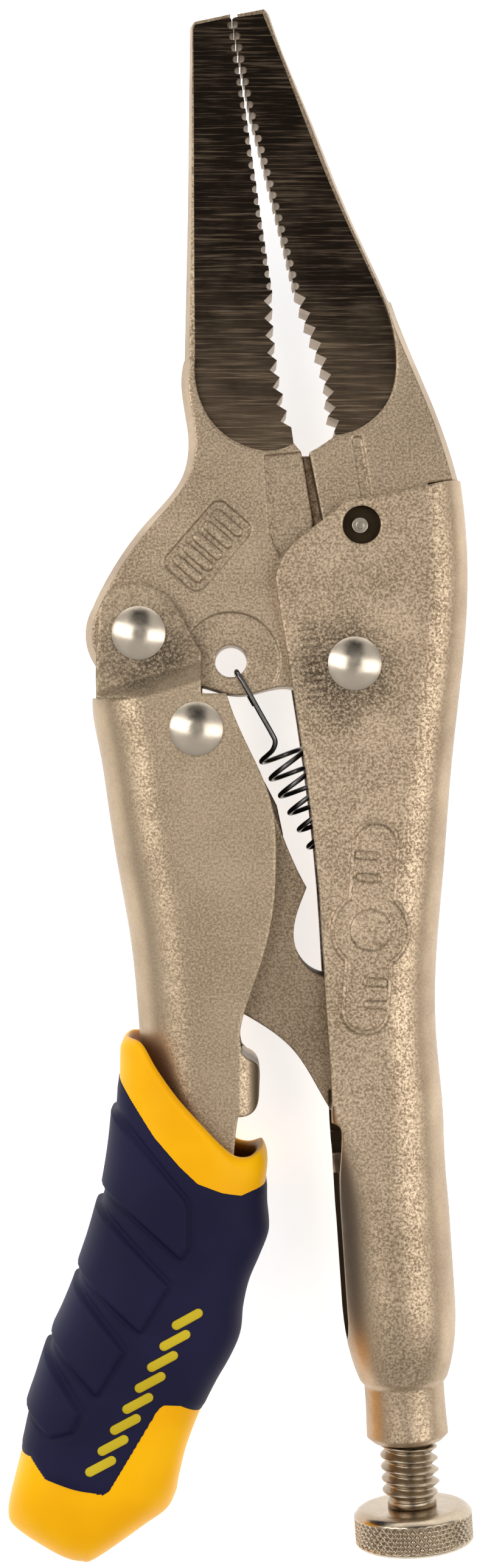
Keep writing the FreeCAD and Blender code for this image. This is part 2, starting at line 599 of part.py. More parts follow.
def lever_handle():
    """The channel that hinges on the movable jaw and carries the toggle."""
    body = new_body("lever_handle")
    wall = sizes.sheet
    loft(body, [(y, channel_section(0.0, x, LEVER_TOP, LEVER_BEND)) for y, x in LEVER_BACK])
    edge = (curve((-16.5, 1.2), (-14.8, -0.8), (-13.2, -4.9), (-11.4, -9.0), (-9.0, -14.8),
                  (-8.45, -21.0), (-9.0, -27.9), (-11.05, -35.0), (-12.3, -40.6), (-12.1, -41.8))
            + polyline((-12.1, -41.8), (-11.5, -42.4))
            + curve((-11.5, -42.4), (-10.3, -43.4), (-10.2, -45.4), (-10.5, -47.6), (-12.5, -48.6))
            + curve((-12.5, -48.6), (-13.0, -53.2), (-14.6, -60.0), (-17.4, -62.6))
            + polyline((-17.4, -62.6), (-30, -62.6), (-30, -72), (4, -72), (4, 1.2), (-16.5, 1.2)))
    pocket_through(body, edge)
    ears = (curve((-27.75, -3.7), (-27.8, 0.0), (-27.5, 4.6))
            + curve((-27.5, 4.6), (-26.4, 7.6), (-23.2, 8.7), (-19.9, 7.0), (-18.1, 4.2),
                    (-16.5, 1.2))
            + polyline((-16.5, 1.2), (-16.5, -3.7), (-27.75, -3.7)))
    pad_middle(body, ears, "sizes.lever_depth")
    # round the folded tab over the open side
    for side in (1, -1):
        bend = (polyline((-12.4, side * 6.6), (-9.0, side * 6.6), (-9.0, side * 3.6),
                         (-10.2, side * 3.6))
                + arc((-10.2, side * 3.6), (-10.9, side * 5.7), (-12.4, side * 6.5))
                + polyline((-12.4, side * 6.5), (-12.4, side * 6.6)))
        sketch = new_sketch(body, "XZ_Plane", move=(0, 0, 41.5))
        sketch.addGeometry(bend, False)
        feature = body.newObject("PartDesign::Pocket", body.Name + "_pocket")
        feature.Profile = sketch
        feature.Length = 8.0
        feature.Reversed = True
    hollow = [(y, channel_section(-12.3, x + wall, LEVER_INNER, LEVER_BEND - wall))
              for y, x in LEVER_BACK[1:] + [(-70.0, -22.8)]]
    loft(body, hollow, cut=True)
    pocket(body, rectangle(-12.5, -42.0, -5.0, -8.0), -LEVER_INNER, LEVER_INNER)
    pocket(body, rectangle(-14.5, -50.0, -9.0, -43.0), -0.3, 0.3)
    # the slot in the back that lets the release lever out
    pocket(body, rectangle(-30, -72, -19, -52), -2.9, 2.9)
    # the ears are squeezed in to fit the jaw, and the back stops short of them
    pocket(body, rectangle(-40, -3.6, 0, 12), -WALL_INNER, WALL_INNER)
    pocket(body, rectangle(-25.8, -9.2, 0, -3.6), -LEVER_INNER, LEVER_INNER)
    turn = FreeCAD.Rotation(V(0, 1, 0), 16.2)
    line, ramp = 4.85, 2.0          # where the squeezed part ends, and its ramp's length
    for side in (1, -1):
        step = polyline((line, side * EAR_TOP), (line - ramp, side * (LEVER_TOP + 0.02)),
                        (line - ramp, side * 9), (40, side * 9), (40, side * EAR_TOP),
                        (line, side * EAR_TOP))
        pocket_through(body, step, depth=120, role="YZ_Plane", turn=turn)
    stop = polyline((-9.6, -12.6), (-8.2, -15.3), (-7.5, -18.6), (-8.3, -21.4), (-9.6, -21.4),
                    (-9.6, -12.6))
    pad(body, stop, -LEVER_TOP, -LEVER_INNER)
    for centre in (LEVER_PIVOT, TOGGLE_PIVOT):
        pocket_through(body, circle(centre, sizes.rivet_radius))
    pocket_through(body, circle(RELEASE_PIVOT, sizes.release_pin_radius))
    return body


TOGGLE_END = V(3.9, -52.3, 0)


def toggle_link():
    """The link from the lever to the screw's tip."""
    body = new_body("toggle_link")
    tongue = 1.5
    eye = 4.0
    outline = (arc_about(TOGGLE_PIVOT, eye, 20, 200)
               + curve(on_circle(TOGGLE_PIVOT, eye, 200), (-19.3, -16.0), (-15.6, -29.0), (-12.6, -37.4))
               + curve((-12.6, -37.4), (-10.3, -38.7), (-6.7, -41.5), (-3.6, -46.3), (-2.6, -48.0))
               + curve((-2.6, -48.0), (-0.4, -49.4), on_circle(TOGGLE_END, tongue, 215))
               + arc_about(TOGGLE_END, tongue, 215, 385)
               + curve(on_circle(TOGGLE_END, tongue, 25), (4.6, -46.0), (1.6, -38.0), (-3.15, -33.7))
               + curve((-3.15, -33.7), (-5.5, -32.2), (-6.5, -29.5), (-5.7, -25.6), (-5.1, -24.1))
               + curve((-5.1, -24.1), (-5.6, -23.2), (-8.3, -16.9), (-10.9, -10.3),
                       on_circle(TOGGLE_PIVOT, eye, 20)))
    pad_middle(body, outline, "sizes.toggle_depth")
    both_faces(body, rectangle(-2.7, -58, 10, -46), 3.0, 6.0)
    pocket_through(body, circle(TOGGLE_PIVOT, RIVET_HOLE))
    return body


# ---------------------------------------------------------------- release lever and grip

GRIP = [
    # y, left x, right x, corner radius
    (-38.0, -25.6, -8.6, 4.5), (-48.0, -25.7, -9.2, 4.5), (-56.0, -26.5, -9.4, 5.0),
    (-62.0, -28.0, -9.7, 5.5), (-68.0, -30.0, -11.6, 5.5), (-75.0, -32.8, -13.6, 5.5),
    (-82.0, -35.2, -17.2, 5.0), (-88.0, -36.7, -18.9, 4.5), (-93.0, -37.5, -19.6, 4.0),
    (-99.0, -37.9, -20.4, 4.0),
]
MOUTH = [(-22.9, -40.8), (-19.1, -46.7), (-14.55, -51.65), (-12.4, -53.1), (-9.0, -52.6)]


def release_outline():
    """The release lever's plan: nose, pin eye and the tang that the grip is moulded on."""
    return (curve((-18.7, -41.8), (-17.9, -40.6), (-16.5, -41.2), (-15.5, -46.0), (-15.4, -52.0),
                  (-16.0, -58.0), (-19.5, -70.0), (-25.2, -86.0))
            + curve((-25.2, -86.0), (-26.3, -89.2), (-29.3, -89.4), (-31.2, -86.6))
            + curve((-31.2, -86.6), (-27.2, -74.0), (-23.0, -64.0), (-20.5, -56.0), (-18.7, -47.0),
                    (-18.7, -41.8)))


def release_lever():
    """The inner steel lever: it carries the grip, and its nose lifts the toggle."""
    body = new_body("release_lever")
    pad_middle(body, release_outline(), "sizes.release_depth")
    pocket_through(body, circle(RELEASE_PIVOT, sizes.release_pin_radius + sizes.rivet_play))
    return body


def release_lever_pin():
    body = new_body("release_lever_pin")
    pad_middle(body, circle(RELEASE_PIVOT, sizes.release_pin_radius), "sizes.lever_depth")
    return body


def grip_blank(name, inset):
    """The whole grip's outside, or a smaller copy; its flat sides are trimmed later."""
    blank = doc.addObject("PartDesign::Body", name)
    half = sizes.grip_depth / 2 + 0.1 - inset
    loft(blank, [(y, rounded_section(x0 + inset, x1 - inset, half, r))
                 for y, x0, x1, r in GRIP])
    return blank


def prism(name, outline, depth=60):
    blank = doc.addObject("PartDesign::Body", name)
    pad_middle(blank, outline, depth)
    return blank


def combine(kind, name, first, second):
    result = doc.addObject(kind, name)
    result.Base = first
    result.Tool = second
    return result


def grip():
    """Yellow core with mouth and end cap, navy skin, and the marks in the skin."""
    blank = grip_blank("grip_blank", 0.0)
    outside = (curve((-25.1, -40.5), MOUTH[0], MOUTH[1], MOUTH[2], MOUTH[3], MOUTH[4])
               + polyline(MOUTH[4], (-2, -52.6), (-2, -80))
               + polyline((-2, -80), (-18.0, -84.5), (-19.3, -90.2))
               + curve((-19.3, -90.2), (-20.2, -91.6), (-23.0, -93.5), (-28.0, -96.8), (-29.6, -97.1),
                       (-31.4, -96.7), (-36.5, -94.0), (-37.6, -92.2))
               + polyline((-37.6, -92.2), (-44, -80), (-44, -40.5), (-25.1, -40.5)))
    body_of_grip = doc.addObject("Part::MultiCommon", "grip_whole")
    body_of_grip.Shapes = [blank, prism("grip_plan", outside, "sizes.grip_depth")]
    zone = (curve((-27.0, -42.6), (-25.3, -44.6), (-21.4, -50.4), (-16.8, -55.3), (-12.2, -56.7),
                  (-8.0, -55.5))
            + polyline((-8.0, -55.5), (-6, -70), (-14, -79.6), (-18.7, -79.0))
            + curve((-18.7, -79.0), (-20.6, -79.0), (-23.4, -83.2), (-26.2, -87.9))
            + curve((-26.2, -87.9), (-27.2, -88.4), (-30.1, -87.7), (-33.0, -86.8), (-34.8, -85.0),
                    (-38.5, -81.0))
            + polyline((-38.5, -81.0), (-44, -60), (-27.0, -42.6)))
    navy_block = doc.addObject("Part::MultiCommon", "grip_navy_block")
    navy_block.Shapes = [body_of_grip, prism("grip_zone", zone)]
    inner = grip_blank("grip_inner", sizes.grip_skin)
    skin = combine("Part::Cut", "grip_skin", navy_block, inner)
    marks_plan = doc.addObject("PartDesign::Body", "marks_plan")
    for step in range(8):
        x, y = -17.9 - 1.31 * step, -69.6 - 2.22 * step
        pad(marks_plan, slab(x, y, 3.6, 1.0, 28, 0.45),
            "sizes.grip_depth / 2 - 0.5", "sizes.grip_depth / 2 + 1")
    marks = doc.addObject("Part::MultiCommon", "grip_marks")
    marks.Shapes = [skin, marks_plan]
    overmould = combine("Part::Cut", "grip_overmould", skin, marks_plan)
    core_full = combine("Part::Cut", "grip_core_full", body_of_grip, skin)
    cavity = doc.addObject("PartDesign::Body", "grip_cavity")
    hollow = (curve((-24.6, -36.0), (-24.3, -46.0), (-24.6, -58.0), (-25.6, -69.0))
              + polyline((-25.6, -69.0), (-13.6, -69.0))
              + curve((-13.6, -69.0), (-12.0, -60.0), (-10.9, -52.0), (-10.9, -36.0))
              + polyline((-10.9, -36.0), (-24.6, -36.0)))
    pad_middle(cavity, hollow, "sizes.lever_depth + 1")
    pad_middle(cavity, release_outline(), "sizes.release_depth")
    core = combine("Part::Cut", "grip_core", core_full, cavity)
    for part in (core, overmould, marks):
        part.Label = part.Name
        place(part)
        PARTS.append(part)


# ---------------------------------------------------------------- screw and spring

SCREW_TIP, SCREW_HEAD = 57.6, 92.0


def adjusting_screw():
    """The threaded shank, with one ring of thread at every pitch."""
    body = new_body("adjusting_screw")
    crest, pitch = sizes.thread_radius, sizes.thread_pitch
    root = crest - 0.61 * pitch
    outline = polyline((0, -SCREW_TIP), (root - 0.4, -SCREW_TIP), (root, -SCREW_TIP - 0.4))
    profile = [(root, -SCREW_TIP - 0.4)]
    y = SCREW_TIP + 0.8
    while y < SCREW_HEAD - 1.6:
        profile += [(root, -y), (crest, -y - 0.42 * pitch), (crest, -y - 0.55 * pitch)]
        y += pitch
    profile += [(root, -y), (root + 0.25, -SCREW_HEAD + 0.7), (root + 0.25, -SCREW_HEAD), (0, -SCREW_HEAD)]
    outline += polyline(*profile) + polyline((0, -SCREW_HEAD), (0, -SCREW_TIP))
    revolve(body, outline, **screw_frame())
    return body


def adjusting_knob():
    """The knurled head."""
    body = new_body("adjusting_knob")
    radius, top = sizes.knob_radius, -SCREW_HEAD - 0.05
    bottom = top - sizes.knob_length
    outline = (polyline((0, top), (radius - 1.0, top))
               + arc((radius - 1.0, top), (radius - 0.25, top - 0.3), (radius, top - 1.0))
               + polyline((radius, top - 1.0), (radius, bottom + 0.7))
               + arc((radius, bottom + 0.7), (radius - 0.25, bottom + 0.2), (radius - 1.1, bottom))
               + polyline((radius - 1.1, bottom), (0, bottom), (0, top)))
    revolve(body, outline, **screw_frame())
    return body


SPRING_TOP = V(-8.1, -8.85, 0)
SPRING_AXIS = V(0.482, -0.876, 0)
SPRING_TURNS = 8


def coil_points(first_deg, last_deg, step_deg=15):
    """Points of the coil's centreline; 0 degrees is its upper side at SPRING_TOP."""
    side = V(-SPRING_AXIS.y, SPRING_AXIS.x, 0)
    points = []
    for degrees in range(first_deg, last_deg + 1, step_deg):
        angle = math.radians(degrees)
        points.append(SPRING_TOP + SPRING_AXIS * (sizes.spring_pitch * degrees / 360)
                      + V(0, 0, math.cos(angle)) * sizes.spring_radius
                      - side * sizes.spring_radius * math.sin(angle))
    return points


def spring():
    """The tension spring that opens the jaw, hooked in the jaw and the fixed handle."""
    jaw_hook = [V(-10.7, -4.2, -3.6), V(-11.7, -2.4, -3.6), V(-12.45, -1.15, -3.4),
                V(-12.68, -0.72, -2.5), V(-12.68, -0.72, 0.0), V(-12.68, -0.72, 2.5),
                V(-12.45, -1.15, 3.4), V(-11.7, -2.4, 3.6), V(-10.2, -5.1, 3.6),
                V(-8.95, -7.3, 3.55), V(-8.5, -8.3, 3.35), V(-8.75, -9.2, 2.7)]
    handle_hook = [V(2.9, -24.2, 0.6), V(3.3, -26.0, 0.9), V(3.5, -27.8, 0.6),
                   V(4.0, -29.0, 0.2), V(5.2, -29.6, 0.0)]
    path = Part.BSplineCurve()
    path.interpolate(jaw_hook + coil_points(40, 40 + 360 * (SPRING_TURNS - 1) + 210)
                     + handle_hook)
    start = path.StartPoint
    section = Part.Wire(Part.makeCircle(sizes.spring_wire / 2, start, path.tangent(0)[0]))
    part = doc.addObject("Part::Feature", "spring")
    part.Shape = Part.Wire(path.toShape()).makePipeShell([section], True, False)
    part.Label = "spring"
    place(part)
    PARTS.append(part)
    return part


# ---------------------------------------------------------------- build

def build():
    fixed_handle()
    fixed_jaw()
    jaw_retaining_pin()
    rivet("main_pivot_rivet", PIVOT, HANDLE_TOP)
    movable_jaw()
    rivet("jaw_lever_rivet", LEVER_PIVOT, EAR_TOP)
    lever_handle()
    rivet("toggle_rivet", TOGGLE_PIVOT, LEVER_TOP)
    toggle_link()
    release_lever()
    release_lever_pin()
    grip()
    spring()
    adjusting_screw()
    adjusting_knob()
    doc.recompute()


def check_and_write():
    failed = [o.Name for o in doc.Objects if "Invalid" in o.State or "Error" in o.State]
    if failed:
        raise SystemExit(f"these objects failed: {failed}")
    os.makedirs("parts", exist_ok=True)
    for part in PARTS:
        shape = part.Shape
        if shape.isNull() or not shape.isValid():
            raise SystemExit(f"{part.Label} has no valid shape")
        box = shape.BoundBox
        print(f"{part.Label:20s} solids {len(shape.Solids):2d} volume {shape.Volume:9.1f} "
              f"x {box.XMin:7.2f} {box.XMax:7.2f} y {box.YMin:7.2f} {box.YMax:7.2f} "
              f"z {box.ZMin:6.2f} {box.ZMax:6.2f}")
        shape.exportStep(f"parts/{part.Label}.step")


build()
check_and_write()
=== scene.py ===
"""Long-nose locking pliers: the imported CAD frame, with a moulded grip, a wound spring, a cut thread
and a knurled head in the finer detail that the frame leaves out, and a finish for every piece."""
import math

import bpy
import numpy as np
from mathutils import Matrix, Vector
from mathutils.bvhtree import BVHTree


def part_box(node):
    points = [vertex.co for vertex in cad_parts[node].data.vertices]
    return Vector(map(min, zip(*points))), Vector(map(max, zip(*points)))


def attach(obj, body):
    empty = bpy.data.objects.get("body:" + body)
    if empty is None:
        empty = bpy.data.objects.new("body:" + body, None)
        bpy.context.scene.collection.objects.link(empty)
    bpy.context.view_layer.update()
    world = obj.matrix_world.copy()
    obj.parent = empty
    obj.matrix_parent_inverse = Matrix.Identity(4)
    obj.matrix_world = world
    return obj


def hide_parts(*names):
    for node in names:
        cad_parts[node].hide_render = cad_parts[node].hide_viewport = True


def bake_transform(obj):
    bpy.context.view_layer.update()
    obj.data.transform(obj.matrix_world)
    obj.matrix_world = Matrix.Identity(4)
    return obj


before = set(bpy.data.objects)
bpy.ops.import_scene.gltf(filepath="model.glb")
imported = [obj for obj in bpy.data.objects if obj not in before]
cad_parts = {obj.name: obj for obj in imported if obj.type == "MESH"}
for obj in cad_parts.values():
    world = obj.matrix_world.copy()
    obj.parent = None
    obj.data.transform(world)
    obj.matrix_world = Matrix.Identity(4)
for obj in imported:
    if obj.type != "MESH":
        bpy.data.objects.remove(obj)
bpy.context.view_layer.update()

MM = 0.001
low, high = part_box("main_pivot_rivet")
PIVOT = np.array((low + high) / 2) / MM           # main pivot in the row frame, in mm
ROUND = 2 * math.pi


# ---------------------------------------------------------------- shader helpers

class Nodes:
    """The node tree of a material or a world, with short ways to add and link nodes."""

    def __init__(self, owner):
        self.owner = owner
        owner.use_nodes = True
        self.tree = owner.node_tree
        self.tree.nodes.clear()

    def add(self, kind, inputs=(), **settings):
        node = self.tree.nodes.new(kind)
        for key, value in settings.items():
            setattr(node, key, value)
        for key, value in dict(inputs).items():
            if isinstance(value, bpy.types.NodeSocket):
                self.tree.links.new(value, node.inputs[key])
            else:
                node.inputs[key].default_value = value
        return node

    def math(self, operation, a, b=0.0, clamp=False):
        return self.add("ShaderNodeMath", {0: a, 1: b}, operation=operation,
                        use_clamp=clamp).outputs[0]

    def mm(self, turn=0.0, scale=(1, 1, 1)):
        """Object coordinates in mm, turned about z and stretched."""
        spot = self.add("ShaderNodeTexCoord").outputs["Object"]
        mapping = self.add("ShaderNodeMapping", {"Vector": spot, "Rotation": (0, 0, turn),
                                                 "Scale": [1000 * s for s in scale]})
        return mapping.outputs[0]

    def noise(self, vector, scale, detail=2.0, rough=0.5):
        return self.add("ShaderNodeTexNoise", {"Vector": vector, "Scale": scale, "Detail": detail,
                                               "Roughness": rough}).outputs["Fac"]

    def range(self, value, a, b, c, d):
        return self.add("ShaderNodeMapRange", {"Value": value, "From Min": a, "From Max": b,
                                               "To Min": c, "To Max": d},
                        interpolation_type="SMOOTHSTEP").outputs[0]

    def mix(self, factor, a, b):
        return self.add("ShaderNodeMix", {0: factor, 6: a, 7: b}, data_type="RGBA").outputs[2]

    def finish(self, colour, roughness, metallic=0.0, height=None, bump=0.02, edge=0.0,
               inputs=()):
        """Close a material's tree. The bump's height and the radius over which edges catch the
        light are in mm."""
        inputs = {"Base Color": colour, "Roughness": roughness, "Metallic": metallic,
                  **dict(inputs)}
        normal = None
        if edge:
            normal = self.add("ShaderNodeBevel", {"Radius": edge * MM}, samples=6).outputs[0]
        if height is not None:
            sockets = {"Height": height, "Distance": bump * MM, "Strength": 1.0}
            if normal:
                sockets["Normal"] = normal
            normal = self.add("ShaderNodeBump", sockets).outputs[0]
        if normal:
            inputs["Normal"] = normal
        shader = self.add("ShaderNodeBsdfPrincipled", inputs)
        self.add("ShaderNodeOutputMaterial", {"Surface": shader.outputs[0]})
        return self.owner


PLATED_ROUGHNESS = 0.40
PLATED_METALLIC = 0.88
PLATED_EDGE = 0.45                                # mm
SHADE_SPOT_TINT = (0.030, 0.020, 0.012, 1)              # painted shade, the tint the shade spots darken towards
GRIND_ANGLE = math.radians(-12)                   # of the grinding lines, from across the jaws
GROUND_DARK = (0.012, 0.007, 0.004, 1)
GROUND_LIT = (0.30, 0.215, 0.14, 1)
GRIME = (0.02, 0.015, 0.01, 1)                    # the speckles on screws, rivets and wire


def new_material(name):
    return Nodes(bpy.data.materials.new(name))


def grained_metal(name, dark, light, grain=3.6, bump=0.03, shade_spots=()):
    """Blasted and plated steel: granular on flat faces, smoother round the bends. Each spot of
    painted shade (x and y from the main pivot, radius, darkness) darkens the plating there."""
    n = new_material(name)
    spot = n.mm()
    facing = n.add("ShaderNodeSeparateXYZ", {0: n.add("ShaderNodeNewGeometry").outputs["Normal"]})
    flat = n.range(n.math("ABSOLUTE", facing.outputs[2]), 0.70, 0.97, 0.15, 1.0)
    fine = n.noise(spot, grain, 5.0, 0.72)
    broad = n.noise(spot, 0.13, 4.0, 0.6)
    grains = n.range(fine, 0.36, 0.64, 0.0, 1.0)
    shade = n.math("ADD", 0.5, n.math("MULTIPLY", flat, n.math("SUBTRACT", grains, 0.5)))
    shade = n.math("ADD", shade, n.math("MULTIPLY", 0.9, n.math("SUBTRACT", broad, 0.5)), True)
    colour = n.mix(shade, (*dark, 1), (*light, 1))
    for x, y, radius, darkness in shade_spots:
        centre = (PIVOT[0] + x, PIVOT[1] + y, PIVOT[2])
        away = n.add("ShaderNodeVectorMath", {0: spot, 1: centre},
                     operation="DISTANCE").outputs["Value"]
        wander = n.math("ADD", away, n.math("MULTIPLY", 5.0, n.math("SUBTRACT", broad, 0.5)))
        amount = n.math("MULTIPLY", n.range(wander, radius * 0.7, radius * 1.35, darkness, 0.0),
                        n.range(fine, 0.44, 0.66, 1.0, 0.25))
        colour = n.mix(amount, colour, SHADE_SPOT_TINT)
    height = n.math("MULTIPLY", fine, flat)
    rough = n.range(shade, 0, 1, PLATED_ROUGHNESS + 0.08, PLATED_ROUGHNESS - 0.08)
    return n.finish(colour, rough, PLATED_METALLIC, height, bump, PLATED_EDGE)


def ground_metal(name):
    """Dark burnished flats with fine grinding lines, paler towards the jaws' roots."""
    n = new_material(name)
    lines = n.noise(n.mm(GRIND_ANGLE, (0.14, 4.2, 1.0)), 1.0, 4.0, 0.65)
    spot = n.mm()
    patches = n.noise(spot, 0.22, 3.0)
    along = n.add("ShaderNodeSeparateXYZ", {0: spot}).outputs[1]
    base = n.range(along, PIVOT[1] + 45, PIVOT[1] + 24, 0.0, 0.55)
    lit = n.math("ADD", n.range(lines, 0.46, 0.80, 0.0, 0.6), n.math("MULTIPLY", base, lines))
    lit = n.math("ADD", lit, n.math("MULTIPLY", 0.35, n.math("SUBTRACT", patches, 0.5)), True)
    colour = n.mix(lit, GROUND_DARK, GROUND_LIT)
    return n.finish(colour, 0.42, 0.75, lines, 0.01, 0.12, {"Specular IOR Level": 0.25})


def plain_metal(name, colour, roughness, speckle=0.0, edge=0.1):
    """Smooth steel with a few dark speckles and a slightly uneven gloss."""
    n = new_material(name)
    spots = n.noise(n.mm(), 3.0, 2.0)
    shade = n.range(spots, 0.3, 0.7, 1.0 - speckle, 1.0)
    tint = n.mix(shade, GRIME, (*colour, 1))
    rough = n.range(n.noise(n.mm(), 0.9, 2.0), 0.3, 0.7, roughness - 0.03, roughness + 0.05)
    return n.finish(tint, rough, 1.0, edge=edge)


def moulding(name, dark, light, roughness, leather=0.012, inside_shade=None, shine=0.3):
    """Moulded plastic or rubber with a faint uneven tone. Where the mesh has its attribute named
    inside, a colour of painted shade darkens it."""
    n = new_material(name)
    tone = n.range(n.noise(n.mm(), 0.12, 2.0), 0.3, 0.7, 0.0, 1.0)
    colour = n.mix(tone, (*dark, 1), (*light, 1))
    if inside_shade:
        depth = n.add("ShaderNodeAttribute", attribute_name="inside").outputs["Fac"]
        colour = n.mix(depth, colour, (*inside_shade, 1))
    return n.finish(colour, roughness, 0.0, n.noise(n.mm(), 7.0, 2.0), leather,
                    inputs={"Specular IOR Level": shine})


# Painted shade in spots: by the main pivot and above it, on the lever's ears and on its folded tab.
NICKEL = grained_metal("plated_steel", (0.24, 0.17, 0.105), (0.66, 0.51, 0.355),
                       shade_spots=[(-1.5, -1.0, 7.5, 0.75), (0.5, 9.5, 6.0, 0.45)])
NICKEL_LEVER = grained_metal("plated_lever", (0.26, 0.19, 0.12), (0.58, 0.45, 0.31), 4.0, 0.02,
                             shade_spots=[(-22.5, 1.8, 6.6, 0.95), (-19.5, -4.2, 5.0, 0.8),
                                        (-11.0, -46.0, 4.0, 0.9)])
JAW_STEEL = grained_metal("jaw_plating", (0.23, 0.165, 0.105), (0.60, 0.465, 0.325), 4.0, 0.022)
GROUND = ground_metal("ground_steel")
LINK = grained_metal("link_steel", (0.17, 0.12, 0.075), (0.42, 0.32, 0.215), 4.0, 0.018)
# Painted shade for the toggle link's side faces.
LINK_SIDE_SHADE = plain_metal("link_side_shade", (0.060, 0.042, 0.026), 0.5)
# Painted shade for the hollows of the fixed handle.
SHADOWED = plain_metal("painted_shade_hollows", (0.045, 0.030, 0.017), 0.6)
RIVET = plain_metal("rivet_steel", (0.60, 0.52, 0.42), 0.25)
SPRING_STEEL = plain_metal("spring_wire", (0.20, 0.20, 0.20), 0.30, 0.25, 0.0)
SCREW_STEEL = plain_metal("screw_plating", (0.42, 0.34, 0.25), 0.28, 0.2, 0.05)
KNOB_STEEL = plain_metal("knob_plating", (0.48, 0.395, 0.295), 0.25, 0.1, 0.0)
# Its third colour is painted shade inside the grip's mouth.
YELLOW = moulding("yellow_plastic", (0.93, 0.43, 0.0), (1.0, 0.50, 0.0), 0.42, 0.004,
                  inside_shade=(0.30, 0.085, 0.002), shine=0.12)
NAVY = moulding("navy_rubber", (0.0080, 0.0075, 0.031), (0.0110, 0.0100, 0.041), 0.62, 0.010,
                shine=0.14)
MARK = moulding("mark_yellow", (0.52, 0.38, 0.012), (0.62, 0.46, 0.02), 0.55, shine=0.15)


# ---------------------------------------------------------------- mesh helpers

def make_mesh(name, points, faces, material):
    """A smooth-shaded mesh from points given in mm from the main pivot."""
    mesh = bpy.data.meshes.new(name)
    mesh.from_pydata(((np.asarray(points, float) + PIVOT) * MM).tolist(), [], faces)
    mesh.materials.append(material)
    mesh.polygons.foreach_set("use_smooth", [True] * len(mesh.polygons))
    mesh.update()
    obj = bpy.data.objects.new(name, mesh)
    bpy.context.scene.collection.objects.link(obj)
    return obj


def tube_faces(rings, sides, caps=True):
    """Quads between rings of points, each ring closed on itself, with a face over each end."""
    faces = []
    for i in range(rings - 1):
        for j in range(sides):
            k = (j + 1) % sides
            faces.append((i * sides + j, i * sides + k, (i + 1) * sides + k, (i + 1) * sides + j))
    if caps:
        faces.append(tuple(range(sides - 1, -1, -1)))
        faces.append(tuple(range((rings - 1) * sides, rings * sides)))
    return faces


def smooth_path(points, spacing):
    """A Catmull-Rom curve through the points, resampled evenly."""
    p = np.asarray(points, float)
    p = np.vstack([2 * p[0] - p[1], p, 2 * p[-1] - p[-2]])
    out = []
    t = np.linspace(0, 1, 12, endpoint=False)[:, None]
    for a, b, c, d in zip(p, p[1:], p[2:], p[3:]):
        out.append(0.5 * (2 * b + (c - a) * t + (2 * a - 5 * b + 4 * c - d) * t ** 2
                          + (3 * b - a - 3 * c + d) * t ** 3))
    return even(np.vstack(out + [p[-2:-1]]), spacing=spacing)


def even(points, spacing=None, count=None):
    """The same polyline with its points evenly spaced."""
    steps = np.linalg.norm(np.diff(points, axis=0), axis=1)
    run = np.concatenate([[0], np.cumsum(steps)])
    if count is None:
        count = max(int(run[-1] / spacing), 2) + 1
    at = np.linspace(0, run[-1], count)
    return np.stack([np.interp(at, run, points[:, i]) for i in range(points.shape[1])], axis=1)


def wire(name, path, radius, sides, material):
    """A round wire along a path, its rings turned as little as possible."""
    tangents = np.gradient(path, axis=0)
    tangents /= np.linalg.norm(tangents, axis=1)[:, None]
    normal = np.cross(tangents[0], (0.3, 0.2, 0.9))
    points = []
    for spot, tangent in zip(path, tangents):
        normal = normal - tangent * normal.dot(tangent)
        normal /= np.linalg.norm(normal)
        across = np.cross(tangent, normal)
        for j in range(sides):
            angle = ROUND * j / sides
            points.append(spot + radius * (normal * math.cos(angle) + across * math.sin(angle)))
    return make_mesh(name, points, tube_faces(len(path), sides), material)


def signed_distance(spots, polygon):
    """Distance in mm to a polygon's edge, positive inside it."""
    polygon = np.asarray(polygon, float)
    nearest = np.full(len(spots), 1e9)
    inside = np.zeros(len(spots), bool)
    for a, b in zip(polygon, np.roll(polygon, -1, axis=0)):
        edge = b - a
        t = np.clip(((spots - a) @ edge) / (edge @ edge), 0, 1)
        nearest = np.minimum(nearest, np.linalg.norm(spots - a - t[:, None] * edge, axis=1))
        crosses = (a[1] > spots[:, 1]) != (b[1] > spots[:, 1])
        rise = b[1] - a[1] if b[1] != a[1] else 1e-9
        inside ^= crosses & (spots[:, 0] < (b[0] - a[0]) * (spots[:, 1] - a[1]) / rise + a[0])
    return np.where(inside, nearest, -nearest)


def ease(value, start, stop):
    """A smooth step from 0 at start to 1 at stop."""
    t = np.clip((value - start) / (stop - start), 0, 1)
    return t * t * (3 - 2 * t)


# ---------------------------------------------------------------- grip

GRIP_LEFT = [(-25.35, -41.2), (-25.4, -44.5), (-25.6, -48.0), (-26.0, -52.0), (-26.7, -56.3),
             (-27.35, -58.65), (-28.3, -62.0), (-29.4, -65.25), (-29.9, -67.1), (-31.2, -70.3),
             (-32.25, -72.5), (-33.0, -74.35), (-34.0, -77.5), (-35.0, -80.5), (-35.9, -84.5),
             (-37.4, -90.6), (-37.55, -92.2)]
GRIP_RIGHT = [(-9.75, -51.9), (-9.3, -53.5), (-9.5, -56.1), (-9.5, -58.45), (-9.3, -60.7),
              (-9.5, -61.9), (-10.3, -63.9), (-11.45, -66.65), (-12.1, -69.5), (-12.4, -72.3),
              (-13.4, -74.7), (-15.0, -77.5), (-16.5, -80.55), (-18.05, -84.5), (-18.9, -88.0),
              (-19.2, -89.9)]
GRIP_MOUTH = [(-25.35, -41.2), (-24.9, -40.65), (-24.1, -40.55), (-22.9, -41.1), (-21.35, -43.6),
              (-19.1, -46.7), (-16.4, -49.7), (-14.55, -51.65), (-13.0, -52.9), (-11.45, -53.1),
              (-10.3, -52.5), (-9.75, -51.9)]
